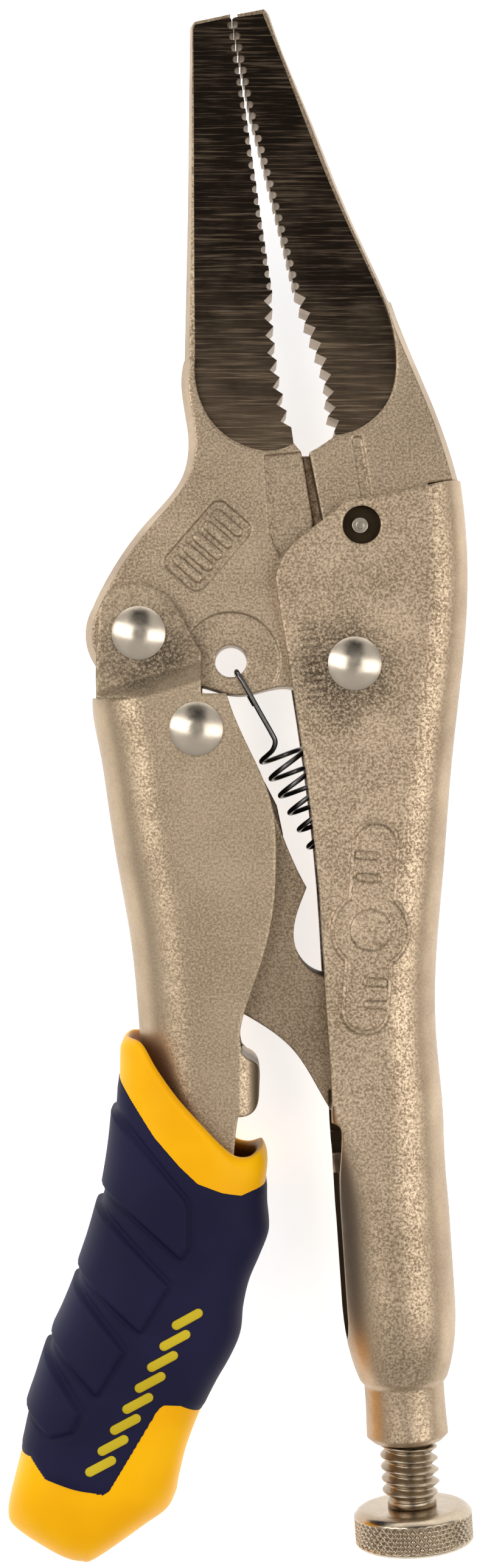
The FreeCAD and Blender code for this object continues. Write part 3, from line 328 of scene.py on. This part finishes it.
GRIP_TAIL = [(-37.55, -92.2), (-36.9, -93.5), (-33.6, -95.5), (-31.25, -96.7), (-29.5, -97.1),
             (-27.9, -96.8), (-22.7, -93.2), (-20.3, -91.6), (-19.2, -89.9)]
GRIP_HALF = 9.5                                   # half of the grip's thickness
GRIP_POWER = 2 / 3.3                              # how square the section's corners are
GRIP_SIDES = 264
MOUTH_REACH = 0.42                                # how far along the mouth's curve still bends it
TAIL_REACH = 0.66
TAIL_START = 0.86                                 # where the thickness starts to round off
MOUTH_WAY = np.array([0.55, 0.83])                # out of the mouth
EDGE_POINTS = 401
NAVY_ZONE = [(-45, -44.4), (-25.4, -44.4), (-24.2, -46.2), (-21.4, -50.4), (-18.7, -53.5),
             (-16.8, -55.3), (-14.2, -56.3), (-12.2, -56.7), (-11.05, -56.3), (-9.5, -55.9),
             (0, -55.9), (0, -80.4), (-16.3, -80.4), (-18.7, -79.0), (-20.45, -78.8),
             (-21.0, -79.3), (-26.2, -87.9), (-26.9, -88.3), (-30.1, -87.7), (-33.0, -86.8),
             (-34.7, -84.7), (-45, -84.7)]
PADS = [
    [(-34, -48.1), (-25.5, -48.1), (-18.2, -57.0), (-17.9, -57.8), (-17.9, -62.1), (-18.6, -63.3),
     (-23.6, -58.7), (-27.2, -55.8), (-34, -55.8)],
    [(-36, -58.3), (-27.2, -58.3), (-19.9, -66.1), (-22.9, -71.1), (-29.8, -64.6), (-36, -64.6)],
    [(-38, -66.5), (-29.8, -66.5), (-24.6, -73.0), (-27.5, -77.8), (-32.65, -72.0), (-38, -72.0)],
    [(-40, -73.7), (-33.0, -73.7), (-29.2, -79.6), (-30.1, -81.6), (-32.4, -82.3), (-35.4, -79.6),
     (-40, -79.6)],
]


# The wall's inside and its rolled lip, as stations of grip_rings
GRIP_LIP = [(0.55, 1.5, 0.0), (0.30, 1.5, 0.0), (0.08, 1.45, 0.0), (0.02, 1.35, 0.0),
            (0.006, 1.15, 0.10), (0.0, 0.95, 0.25), (0.0, 0.70, 0.36), (0.0, 0.45, 0.30),
            (0.0, 0.20, 0.12), (0.004, 0.05, 0.0)]


def grip_profile(sides):
    """A soft-cornered section: u across from -1 to 1, h over the thickness from -1 to 1."""
    half_width = 8.0
    angle = np.linspace(0, ROUND, 4001)
    c, s = np.cos(angle), np.sin(angle)
    loop = np.stack([np.sign(c) * np.abs(c) ** GRIP_POWER * half_width,
                     np.sign(s) * np.abs(s) ** GRIP_POWER * GRIP_HALF], axis=1)
    loop = even(loop, count=sides + 1)[:-1]
    return loop[:, 0] / half_width, loop[:, 1] / GRIP_HALF


def grip_rings(stations, sides):
    """Rings of the grip. Each station is its place along the grip from 0 to 1, the wall's inset
    and the shift out of the mouth, both in mm."""
    left, right, mouth, tail = [even(smooth_path(line, 0.1), count=EDGE_POINTS) for line in
                                (GRIP_LEFT, GRIP_RIGHT, GRIP_MOUTH, GRIP_TAIL)]
    u, h = grip_profile(sides)
    grid = np.linspace(0, 1, EDGE_POINTS)

    def on(line, at):
        return np.stack([np.interp(at, grid, line[:, 0]), np.interp(at, grid, line[:, 1])], axis=-1)

    rings = []
    for v, inset, out in stations:
        a, b = on(left, v), on(right, v)
        width = np.linalg.norm(b - a)
        across = (0.5 + 0.5 * u * (1 - 2 * inset / width))[:, None]
        plan = a + (b - a) * across
        front = (1 - ease(v, 0.0, MOUTH_REACH)) ** 1.5
        back = ease(v, TAIL_REACH, 1.0) ** 1.5
        plan = plan + front * (on(mouth, across[:, 0]) - (left[0] + (right[0] - left[0]) * across))
        plan = plan + back * (on(tail, across[:, 0]) - (left[-1] + (right[-1] - left[-1]) * across))
        plan = plan + out * MOUTH_WAY
        depth = GRIP_HALF - 1.7 * inset
        end = max(0.0, (v - TAIL_START) / 0.14)
        depth *= max(1 - end ** 2.6, 0.0) ** (1 / 2.6)
        rings.append(np.column_stack([plan, h * depth]))
    return np.vstack(rings)


def outward(points, rings, sides):
    """Unit normals of a tube's rings, pointing out of it."""
    grid = points.reshape(rings, sides, 3)
    around = np.roll(grid, -1, axis=1) - np.roll(grid, 1, axis=1)
    along = np.gradient(grid, axis=0)
    normal = np.cross(around, along).reshape(-1, 3)
    size = np.linalg.norm(normal, axis=1)[:, None]
    return normal / np.maximum(size, 1e-9)


def grip_relief(spots):
    """How far the navy skin stands above the plain grip, in mm."""
    inside = signed_distance(spots, NAVY_ZONE)
    relief = -0.55 + 0.63 * ease(inside, -0.28, 0.06)
    relief += 0.10 * ease(inside, 0.1, 0.8)
    for pad in PADS:
        d = signed_distance(spots, pad)
        relief += 0.55 * ease(d, -0.12, 0.22)
        relief -= 0.16 * np.exp(-((d + 0.30) / 0.20) ** 2)
    return inside, relief


def make_grip():
    """The yellow core with its open mouth, and the navy skin over its middle."""
    sides = GRIP_SIDES
    tail_turn = np.sin(np.linspace(0, math.pi / 2, 32))[1:]
    outside = np.concatenate([np.linspace(0.012, TAIL_START, 250), TAIL_START + 0.14 * tail_turn])
    stations = GRIP_LIP + [(v, 0.0, 0.0) for v in outside]
    points = grip_rings(stations, sides)
    faces = tube_faces(len(stations), sides)
    normal = outward(points, len(stations), sides)
    inside = signed_distance(points[:, :2], NAVY_ZONE)
    wall = np.repeat([inset == 0 for _, inset, _ in stations], sides)
    sink = np.where(wall, 0.25 * ease(inside, 0.2, 1.0), 0.0)
    shell = make_mesh("grip_shell", points - normal * sink[:, None], faces, YELLOW)
    # Painted shade inside the mouth, deepening with the wall's inset.
    mouth_shade_layer = shell.data.attributes.new("inside", "FLOAT", "POINT")
    mouth_shade_depth = np.repeat([min(1.0, max(0.0, (inset - 0.75) / 0.5)) for _, inset, _ in stations], sides)
    mouth_shade_layer.data.foreach_set("value", mouth_shade_depth.astype(np.float32))

    skin_stations = [(v, 0.0, 0.0) for v in np.linspace(0.03, 0.95, 330)]
    points = grip_rings(skin_stations, sides)
    normal = outward(points, len(skin_stations), sides)
    inside, relief = grip_relief(points[:, :2])
    faces = [f for f in tube_faces(len(skin_stations), sides, caps=False)
             if max(inside[i] for i in f) > -0.5]
    points = points + normal * relief[:, None]
    used = sorted({i for f in faces for i in f})
    index = {old: new for new, old in enumerate(used)}
    skin = make_mesh("grip_skin", points[used], [[index[i] for i in f] for f in faces], NAVY)
    return shell, skin


MARK_TURN = math.radians(28)
MARK_COUNT = 8
MARK_RINGS = ((1.0, -0.3), (1.0, 0.05), (0.94, 0.12), (0.80, 0.16))   # size, height over the skin


def rounded_bar(length, width, steps=10):
    """Plan of a bar with round ends, its long side along x."""
    r, half = width / 2, (length - width) / 2
    ends = []
    for centre, start in ((half, -90), (-half, 90)):
        for k in range(steps + 1):
            angle = math.radians(start + 180 * k / steps)
            ends.append((centre + r * math.cos(angle), r * math.sin(angle)))
    return np.array(ends)


def make_marks(skin):
    """Eight plain slanted bars, raised from the skin's upper face."""
    surface = BVHTree.FromPolygons([v.co for v in skin.data.vertices],
                                   [p.vertices for p in skin.data.polygons])
    cos, sin = math.cos(MARK_TURN), math.sin(MARK_TURN)
    rotate = np.array([[cos, sin], [-sin, cos]])
    plan = rounded_bar(3.6, 1.0)
    sides = len(plan)
    points, faces = [], []
    for k in range(MARK_COUNT):
        middle = np.array((-17.9 - 1.31 * k, -69.6 - 2.22 * k))
        start = len(points)
        for shrink, lift in MARK_RINGS:
            for spot in (plan * shrink) @ rotate + middle:
                above = Vector(((spot[0] + PIVOT[0]) * MM, (spot[1] + PIVOT[1]) * MM, 0.05))
                hit = surface.ray_cast(above, Vector((0, 0, -1)))[0]
                points.append((spot[0], spot[1], hit.z / MM - PIVOT[2] + lift))
        faces += [tuple(i + start for i in f) for f in tube_faces(len(MARK_RINGS), sides)]
    return make_mesh("grip_bars", points, faces, MARK)


# ---------------------------------------------------------------- spring, screw and knob

SPRING_TOP = np.array((-8.1, -8.85, 0.0))
SPRING_AXIS = np.array((0.482, -0.876, 0.0))
SPRING_SIDE = np.array((0.876, 0.482, 0.0))
COIL_PITCH = 2.13
COIL_RADIUS = 2.4
COIL_DEGREES = range(40, 40 + 360 * 7 + 211, 15)
SPRING_WIRE = 0.275                               # radius
JAW_HOOK = [(-10.7, -4.2, -3.6), (-11.7, -2.4, -3.6), (-12.45, -1.15, -3.4),
            (-12.68, -0.72, -2.5), (-12.68, -0.72, 0.0), (-12.68, -0.72, 2.5),
            (-12.45, -1.15, 3.4), (-11.7, -2.4, 3.6), (-10.2, -5.1, 3.6), (-8.95, -7.3, 3.55),
            (-8.5, -8.3, 3.35), (-8.75, -9.2, 2.7)]
HANDLE_HOOK = [(2.9, -24.2, 0.6), (3.3, -26.0, 0.9), (3.5, -27.8, 0.6), (4.0, -29.0, 0.2),
               (5.2, -29.6, 0.0)]


def make_spring():
    """One wire: jaw hook, nearly eight open coils and the hook inside the handle."""
    coil = []
    for degrees in COIL_DEGREES:
        angle = math.radians(degrees)
        coil.append(SPRING_TOP + SPRING_AXIS * COIL_PITCH * degrees / 360
                    - SPRING_SIDE * COIL_RADIUS * math.sin(angle)
                    + np.array((0, 0, COIL_RADIUS * math.cos(angle))))
    path = smooth_path(JAW_HOOK + coil + HANDLE_HOOK, 0.16)
    return wire("spring_wire", path, SPRING_WIRE, 14, SPRING_STEEL)


SCREW_TILT = math.radians(3.86)
SCREW_AXIS = np.array((math.sin(SCREW_TILT), -math.cos(SCREW_TILT), 0.0))
SCREW_SIDE = np.array((math.cos(SCREW_TILT), math.sin(SCREW_TILT), 0.0))
SCREW_ORIGIN = np.array((0.37, 0, 0))             # on the axis, level with the main pivot
THREAD_PITCH = 1.27
THREAD_CREST = 3.15                               # radius
THREAD_ROOT = THREAD_CREST - 0.58 * THREAD_PITCH
THREAD_START, THREAD_END = 57.9, 91.25            # along the axis
KNOB_RADIUS = 6.5
KNOB_TOP = 92.06
KNOB_LENGTH = 4.28
KNURL_COUNT = 44                                  # grooves round the rim, in each direction
KNURL_PITCH = 0.93                                # between grooves along the axis
KNURL_DEPTH = 0.34


def turned(rows, sides):
    """Points round the screw's axis; each row gives (distance along it, radius at every angle)."""
    up = np.array((0.0, 0.0, 1.0))
    angle = np.linspace(0, ROUND, sides, endpoint=False)
    points = []
    for s, radius in rows:
        ring = radius * np.cos(angle), radius * np.sin(angle)
        points.append(SCREW_ORIGIN + SCREW_AXIS * s + np.outer(ring[0], SCREW_SIDE)
                      + np.outer(ring[1], up))
    return np.vstack(points)


def make_screw():
    """A right-hand thread cut on the shank, with a chamfered tip and a plain collar."""
    sides = 60
    turn = np.linspace(0, 1, sides, endpoint=False)
    rows = [(57.62, np.full(sides, THREAD_ROOT - 0.4))]
    for s in np.arange(THREAD_START, THREAD_END, THREAD_PITCH / 14):
        phase = (s / THREAD_PITCH + turn) % 1.0
        flank = np.clip(2.35 * np.abs(phase - 0.5) - 0.12, 0, 1)
        fade = ease(s, 57.9, 58.9) * (1 - ease(s, 90.4, 91.2))
        rows.append((s, THREAD_ROOT + (THREAD_CREST - THREAD_ROOT) * (1 - flank) * fade))
    rows += [(s, np.full(sides, THREAD_ROOT + extra))
             for s, extra in ((THREAD_END, 0.0), (91.3, 0.22), (91.35, 0.25), (91.98, 0.25))]
    return make_mesh("screw_thread", turned(rows, sides), tube_faces(len(rows), sides), SCREW_STEEL)


def make_knob():
    """The head, with crossed V grooves round its rim."""
    sides = 600
    turn = np.linspace(0, 1, sides, endpoint=False)
    plain = np.ones(sides)
    rows = [(KNOB_TOP + s, plain * r) for s, r in
            ((0.0, 0.4), (0.0, 2.6), (0.0, 4.6), (0.0, 5.2), (0.03, 5.45), (0.12, 5.75),
             (0.34, 6.1), (0.60, 6.28))]
    for s in np.linspace(0.78, KNOB_LENGTH - 0.55, 52):
        edge = ease(s, 0.78, 1.1) * (1 - ease(s, KNOB_LENGTH - 0.85, KNOB_LENGTH - 0.55))
        grooves = []
        for lean in (1, -1):
            phase = (KNURL_COUNT * turn + lean * s / KNURL_PITCH) % 1.0
            grooves.append(np.clip(1.0 - np.abs(phase - 0.5) * 3.4, 0, 1))
        rows.append((KNOB_TOP + s,
                     KNOB_RADIUS - 0.05 - KNURL_DEPTH * edge * np.maximum(*grooves)))
    rows += [(KNOB_TOP + KNOB_LENGTH - d, plain * r) for d, r in
             ((0.42, 6.36), (0.22, 6.15), (0.08, 5.85), (0.0, 5.4), (0.0, 2.5), (0.0, 0.4))]
    return make_mesh("knurled_knob", turned(rows, sides), tube_faces(len(rows), sides), KNOB_STEEL)


# ---------------------------------------------------------------- dressing the frame

FLAT = 0.98                                       # normal.z of a face that lies flat
GROUND_FROM = 22.0                                # the jaws' ground faces start here, along y
PIN_CENTRE = (0.75, 14.9)                         # of the jaw retaining pin
DISH_RADIUS = 2.1
SEAM_FROM, SEAM_TOP = -49.0, 2.5


def paint(node, material):
    """One material over the whole of a frame node; the mesh is returned."""
    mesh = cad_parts[node].data
    mesh.materials.clear()
    mesh.materials.append(material)
    mesh.polygons.foreach_set("material_index", [0] * len(mesh.polygons))
    return mesh


def paint_ground_faces(node):
    """The jaws' flat ground faces; everything else on the jaw keeps its plating."""
    mesh = paint(node, JAW_STEEL)
    mesh.materials.append(GROUND)
    for face in mesh.polygons:
        _, y, z = np.array(face.center) / MM - PIVOT
        ground = 3.5 - (y - 20.0) * 1.3 / 52.5      # half the jaw's thickness, which tapers
        if abs(face.normal.z) > FLAT and y > GROUND_FROM and abs(abs(z) - ground) < 0.06:
            face.material_index = 1


def paint_hollows(node):
    """The handle's inside, seen through the tube's seam, and the retaining pin's counterbore, painted
    in shade.
    """
    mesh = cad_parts[node].data
    mesh.materials.append(SHADOWED)
    for face in mesh.polygons:
        x, y, z = np.array(face.center) / MM - PIVOT
        in_seam = face.normal.z > 0.9 and y < SEAM_FROM and z < SEAM_TOP
        reach = math.hypot(x - PIN_CENTRE[0], y - PIN_CENTRE[1])
        in_dish = reach < DISH_RADIUS and 4.5 < abs(z) < 5.9
        if in_seam or in_dish:
            face.material_index = 1


def paint_side_shade(node, material):
    """Painted shade on the sheared side faces of a stamping, darker than its flat faces."""
    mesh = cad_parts[node].data
    mesh.materials.append(material)
    for face in mesh.polygons:
        if abs(face.normal.z) < 0.5:
            face.material_index = 1


def dress_frame():
    """A finish for every node of the frame, also for those that finer pieces replace."""
    for node, material in {
        "fixed_handle": NICKEL, "lever_handle": NICKEL_LEVER, "toggle_link": LINK,
        "release_lever": LINK, "main_pivot_rivet": RIVET, "jaw_lever_rivet": RIVET,
        "toggle_rivet": RIVET, "release_lever_pin": RIVET, "jaw_retaining_pin": RIVET,
        "spring": SPRING_STEEL, "adjusting_screw": SCREW_STEEL, "adjusting_knob": KNOB_STEEL,
        "grip_core": YELLOW, "grip_overmould": NAVY, "grip_marks": MARK,
    }.items():
        paint(node, material)
    for jaw in ("movable_jaw", "fixed_jaw"):
        paint_ground_faces(jaw)
    paint_hollows("fixed_handle")
    paint_side_shade("toggle_link", LINK_SIDE_SHADE)


def place_pieces():
    """The finer pieces in place of their nodes; the grip, the screw and the knob each on its body."""
    shell, skin = make_grip()
    bars = make_marks(skin)
    for piece, node, slot in ((shell, "grip_core", "grip_yellow"),
                              (skin, "grip_overmould", "grip_navy"),
                              (bars, "grip_marks", "grip_yellow")):
        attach(piece, "release")
        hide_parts(node)
    screw, knob = make_screw(), make_knob()
    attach(screw, "screw")
    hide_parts("adjusting_screw")
    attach(knob, "knob")
    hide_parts("adjusting_knob")
    spring = make_spring()
    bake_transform(spring)
    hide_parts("spring")


# ---------------------------------------------------------------- stage, light and camera

FLOOR_HALF = 1.5                                  # m, like the other lengths of this section
FLOOR_DROP = 0.0002
BOX_SIZE = (0.24, 0.55)
CAMERA_SPOT = (-12.47, -12.91, 290.0)             # mm from the main pivot


def make_stage():
    """A plain pale floor under the pliers."""
    mesh = bpy.data.meshes.new("floor")
    half = FLOOR_HALF
    mesh.from_pydata([(-half, -half, 0), (half, -half, 0), (half, half, 0), (-half, half, 0)], [],
                     [(0, 1, 2, 3)])
    floor = bpy.data.objects.new("floor", mesh)
    floor.location.z = -FLOOR_DROP
    bpy.context.scene.collection.objects.link(floor)
    n = new_material("pale_floor")
    tone = n.range(n.noise(n.mm(), 0.01, 2.0), 0.3, 0.7, 0.97, 1.0)
    colour = n.mix(tone, (0.9, 0.9, 0.9, 1), (0.95, 0.95, 0.95, 1))
    mesh.materials.append(n.finish(colour, 0.9, inputs={"Emission Color": colour,
                                                        "Emission Strength": 0.70}))


def make_light():
    """A white studio: a soft glow overhead with a dark gap towards the jaws, a bright rim low
    beyond them, and a box light on each side."""
    world = bpy.data.worlds.new("studio")
    bpy.context.scene.world = world
    n = Nodes(world)
    way = n.add("ShaderNodeSeparateXYZ", {0: n.add("ShaderNodeTexCoord").outputs["Generated"]})
    x, y, z = way.outputs
    sides = n.range(n.math("ABSOLUTE", x), 0.10, 0.50, 0.0, 0.42)
    below = n.range(y, 0.10, -0.40, 0.0, 0.34)
    high = n.math("ADD", 0.26, n.math("MAXIMUM", sides, below))
    glow = n.math("ADD", n.math("MULTIPLY", n.range(z, 0.25, 0.60, 0.0, 1.0), high),
                  n.range(z, 0.25, 0.60, 0.40, 0.0))
    rim = n.math("MULTIPLY", n.range(y, 0.55, 0.90, 0.0, 1.5), n.range(z, 0.45, 0.25, 0.0, 1.0))
    gap = n.math("MULTIPLY", n.range(n.math("ABSOLUTE", x), 0.20, 0.48, 1.0, 0.0),
                 n.math("MULTIPLY", n.range(y, 0.15, 0.40, 0.0, 1.0),
                        n.range(z, 0.4, 0.6, 0.0, 1.0)))
    strength = n.math("ADD", rim, n.math("MULTIPLY", glow, n.range(gap, 0.0, 1.0, 1.0, 0.10)))
    shader = n.add("ShaderNodeBackground", {"Color": (1.0, 0.985, 0.96, 1), "Strength": strength})
    n.add("ShaderNodeOutputWorld", {"Surface": shader.outputs[0]})
    for name, spot, power in (("left_box", (-0.34, 0.10, 0.42), 1.25),
                              ("right_box", (0.36, -0.02, 0.42), 0.95)):
        data = bpy.data.lights.new(name, "AREA")
        data.shape = "RECTANGLE"
        data.size, data.size_y = BOX_SIZE
        data.energy = power
        box = bpy.data.objects.new(name, data)
        bpy.context.scene.collection.objects.link(box)
        box.location = spot
        box.rotation_mode = "QUATERNION"
        box.rotation_quaternion = Vector(spot).to_track_quat("Z", "Y")


def make_camera():
    """Straight down on the tool, jaws up the picture."""
    data = bpy.data.cameras.new("camera")
    data.lens = 60.8
    data.sensor_width = 36.0
    data.clip_start, data.clip_end = 0.02, 10.0
    camera = bpy.data.objects.new("camera", data)
    bpy.context.scene.collection.objects.link(camera)
    camera.location = (PIVOT + np.array(CAMERA_SPOT)) * MM
    bpy.context.scene.camera = camera
    bpy.context.scene.view_settings.view_transform = "Standard"


dress_frame()
place_pieces()
make_stage()
make_light()
make_camera()
